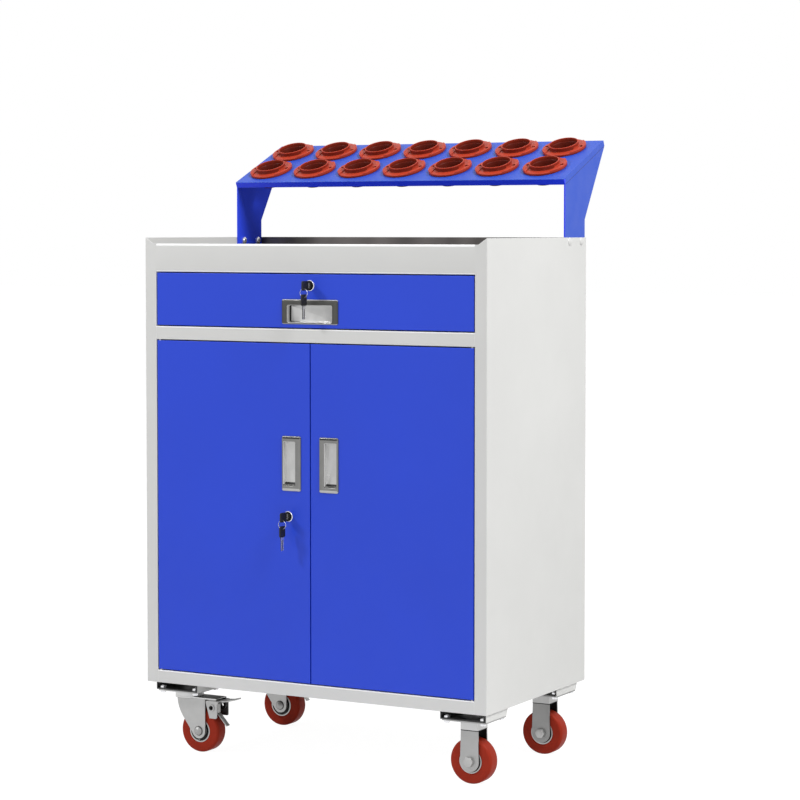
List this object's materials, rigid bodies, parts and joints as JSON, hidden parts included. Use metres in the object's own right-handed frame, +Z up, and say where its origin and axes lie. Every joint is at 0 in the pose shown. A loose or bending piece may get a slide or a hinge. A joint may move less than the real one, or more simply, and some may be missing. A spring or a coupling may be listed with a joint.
{
  "type": "tool cabinet",
  "caption": "Sheet steel tool cabinet on casters with a sunken top tray, a drawer, a two-door cupboard and a sloping rack of tapered tool holder cups.",
  "frame": {"origin": "middle of the cabinet's footprint, on the floor", "axes": "+X to the right seen from the front, +Y to the back, +Z up"},
  "size_m": [0.706, 0.5104, 1.1282],
  "materials": {
    "body_grey": "light grey powder coat",
    "tray_metal": "dark satin steel",
    "door_blue": "blue powder coat",
    "drawer_grey": "grey powder coat",
    "rack_blue": "blue powder coat",
    "zinc": "zinc plated steel",
    "chrome": "bright plated",
    "key_black": "black moulded plastic",
    "cup_red": "red moulded plastic",
    "tyre_red": "red-brown polyurethane"
  },
  "bodies": {
    "cabinet": {"left_side_panel": "body_grey", "right_side_panel": "body_grey", "base_panel": "body_grey", "back_panel": "body_grey", "middle_rail": "body_grey", "top_rail": "body_grey", "top_tray": "tray_metal", "shelf": "body_grey", "shelf_clips": "zinc", "door_magnets": "key_black", "hinge_pins": "zinc", "cabinet_runners": "zinc", "rack_plate": "rack_blue", "left_rack_arm": "rack_blue", "right_rack_arm": "rack_blue", "rack_fasteners": "zinc", "front_tool_cups": "cup_red", "rear_tool_cups": "cup_red", "cup_screws": "key_black", "caster_channels": "body_grey", "caster_fasteners": "zinc", "fixed_axles": "zinc", "front_left_swivel_plate": "zinc", "rear_left_swivel_plate": "zinc", "front_right_bracket": "zinc", "rear_right_bracket": "zinc"},
    "drawer": {"drawer_front": "door_blue", "drawer_box": "drawer_grey", "drawer_grip": "chrome", "drawer_slides": "zinc", "drawer_lock_barrel": "chrome"},
    "drawer_lock": {"drawer_lock_plug": "zinc", "drawer_key": "key_black"},
    "drawer_keys": {"drawer_key_ring": "zinc", "drawer_spare_key": "key_black"},
    "left_door": {"left_door": "door_blue", "left_door_grip": "chrome", "door_lock_barrel": "chrome"},
    "door_lock": {"door_lock_plug": "zinc", "door_key": "key_black"},
    "door_keys": {"door_key_ring": "zinc", "door_spare_key": "key_black"},
    "right_door": {"right_door": "door_blue", "right_door_grip": "chrome"},
    "front_swivel": {"front_left_fork": "zinc", "front_left_fork_bolts": "zinc"},
    "front_brake": {"front_left_brake_lever": "zinc"},
    "front_left_wheel": {"front_left_tyre": "tyre_red", "front_left_hub": "zinc"},
    "front_right_wheel": {"front_right_tyre": "tyre_red", "front_right_hub": "zinc"},
    "rear_swivel": {"rear_left_fork": "zinc", "rear_left_fork_bolts": "zinc"},
    "rear_brake": {"rear_left_brake_lever": "zinc"},
    "rear_left_wheel": {"rear_left_tyre": "tyre_red", "rear_left_hub": "zinc"},
    "rear_right_wheel": {"rear_right_tyre": "tyre_red", "rear_right_hub": "zinc"}
  },
  "joints": [
    {"name": "drawer_slide", "type": "slide", "parent": "cabinet", "child": "drawer", "axis": [0, -1, 0], "range_m": [0, 0.3]},
    {"name": "drawer_lock_turn", "type": "hinge", "parent": "drawer", "child": "drawer_lock", "pos_m": [0, -0.22564, 0.859], "axis": [0, -1, 0], "range_deg": [0, 90]},
    {"name": "drawer_keys_swing", "type": "hinge", "parent": "drawer_lock", "child": "drawer_keys", "pos_m": [0, -0.24674, 0.8535], "axis": [-1, 0, 0], "range_deg": [-12, 80]},
    {"name": "door_lock_turn", "type": "hinge", "parent": "left_door", "child": "door_lock", "pos_m": [-0.0454, -0.22564, 0.4485], "axis": [0, -1, 0], "range_deg": [0, 90]},
    {"name": "door_keys_swing", "type": "hinge", "parent": "door_lock", "child": "door_keys", "pos_m": [-0.0454, -0.24674, 0.443], "axis": [-1, 0, 0], "range_deg": [-12, 80]},
    {"name": "left_door_hinge", "type": "hinge", "parent": "cabinet", "child": "left_door", "pos_m": [-0.32, -0.22164, 0.4545], "axis": [0, 0, -1], "range_deg": [0, 105]},
    {"name": "right_door_hinge", "type": "hinge", "parent": "cabinet", "child": "right_door", "pos_m": [0.32, -0.22164, 0.4545], "axis": [0, 0, 1], "range_deg": [0, 105]},
    {"name": "front_swivel_turn", "type": "hinge", "parent": "cabinet", "child": "front_swivel", "pos_m": [-0.2855, -0.18214, 0.1015], "axis": [0, 0, 1], "continuous": true},
    {"name": "front_brake_press", "type": "hinge", "parent": "front_swivel", "child": "front_brake", "pos_m": [-0.2247, -0.18214, 0.0854], "axis": [0, 1, 0], "range_deg": [0, 15]},
    {"name": "front_left_wheel_roll", "type": "hinge", "parent": "front_swivel", "child": "front_left_wheel", "pos_m": [-0.2545, -0.18214, 0.04], "axis": [0, 1, 0], "continuous": true},
    {"name": "front_right_wheel_roll", "type": "hinge", "parent": "cabinet", "child": "front_right_wheel", "pos_m": [0.3035, -0.18214, 0.04], "axis": [0, 1, 0], "continuous": true},
    {"name": "rear_swivel_turn", "type": "hinge", "parent": "cabinet", "child": "rear_swivel", "pos_m": [-0.2855, 0.10236, 0.1015], "axis": [0, 0, 1], "continuous": true},
    {"name": "rear_brake_press", "type": "hinge", "parent": "rear_swivel", "child": "rear_brake", "pos_m": [-0.2247, 0.10236, 0.0854], "axis": [0, 1, 0], "range_deg": [0, 15]},
    {"name": "rear_left_wheel_roll", "type": "hinge", "parent": "rear_swivel", "child": "rear_left_wheel", "pos_m": [-0.2545, 0.10236, 0.04], "axis": [0, 1, 0], "continuous": true},
    {"name": "rear_right_wheel_roll", "type": "hinge", "parent": "cabinet", "child": "rear_right_wheel", "pos_m": [0.3035, 0.10236, 0.04], "axis": [0, 1, 0], "continuous": true}
  ]
}
